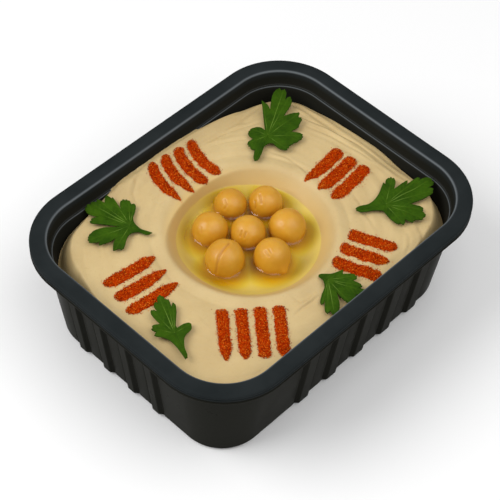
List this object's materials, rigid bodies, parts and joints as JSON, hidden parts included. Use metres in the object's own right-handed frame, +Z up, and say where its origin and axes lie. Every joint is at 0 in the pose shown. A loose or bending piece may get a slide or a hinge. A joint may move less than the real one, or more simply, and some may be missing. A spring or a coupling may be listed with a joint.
{
  "type": "hummus",
  "caption": "Dip in a black plastic tray, with a round well of oil and chickpeas, grainy paprika stripes and parsley leaves on top.",
  "frame": {"origin": "centre of the tray's flat base", "axes": "+X along the tray's long side, +Y across it, +Z up out of the open top"},
  "size_m": [0.137, 0.1076, 0.045],
  "materials": {
    "tray": "satin black, thermoformed",
    "hummus": "moist smooth paste, with matt rust-red paprika on the stripes",
    "oil": "clear golden oil with a wet gloss",
    "chickpea": "wet with oil, golden tan",
    "parsley": "fresh leaf, soft sheen"
  },
  "bodies": {
    "root": {"tray": "tray", "hummus": "hummus", "oil": "oil", "chickpea_middle": "chickpea", "chickpea_front_left": "chickpea", "chickpea_front_right": "chickpea", "chickpea_left": "chickpea", "chickpea_right": "chickpea", "chickpea_back_left": "chickpea", "chickpea_back_right": "chickpea", "parsley_top": "parsley", "parsley_right": "parsley", "parsley_left": "parsley", "parsley_bottom_left": "parsley", "parsley_bottom_right": "parsley"}
  },
  "joints": []
}
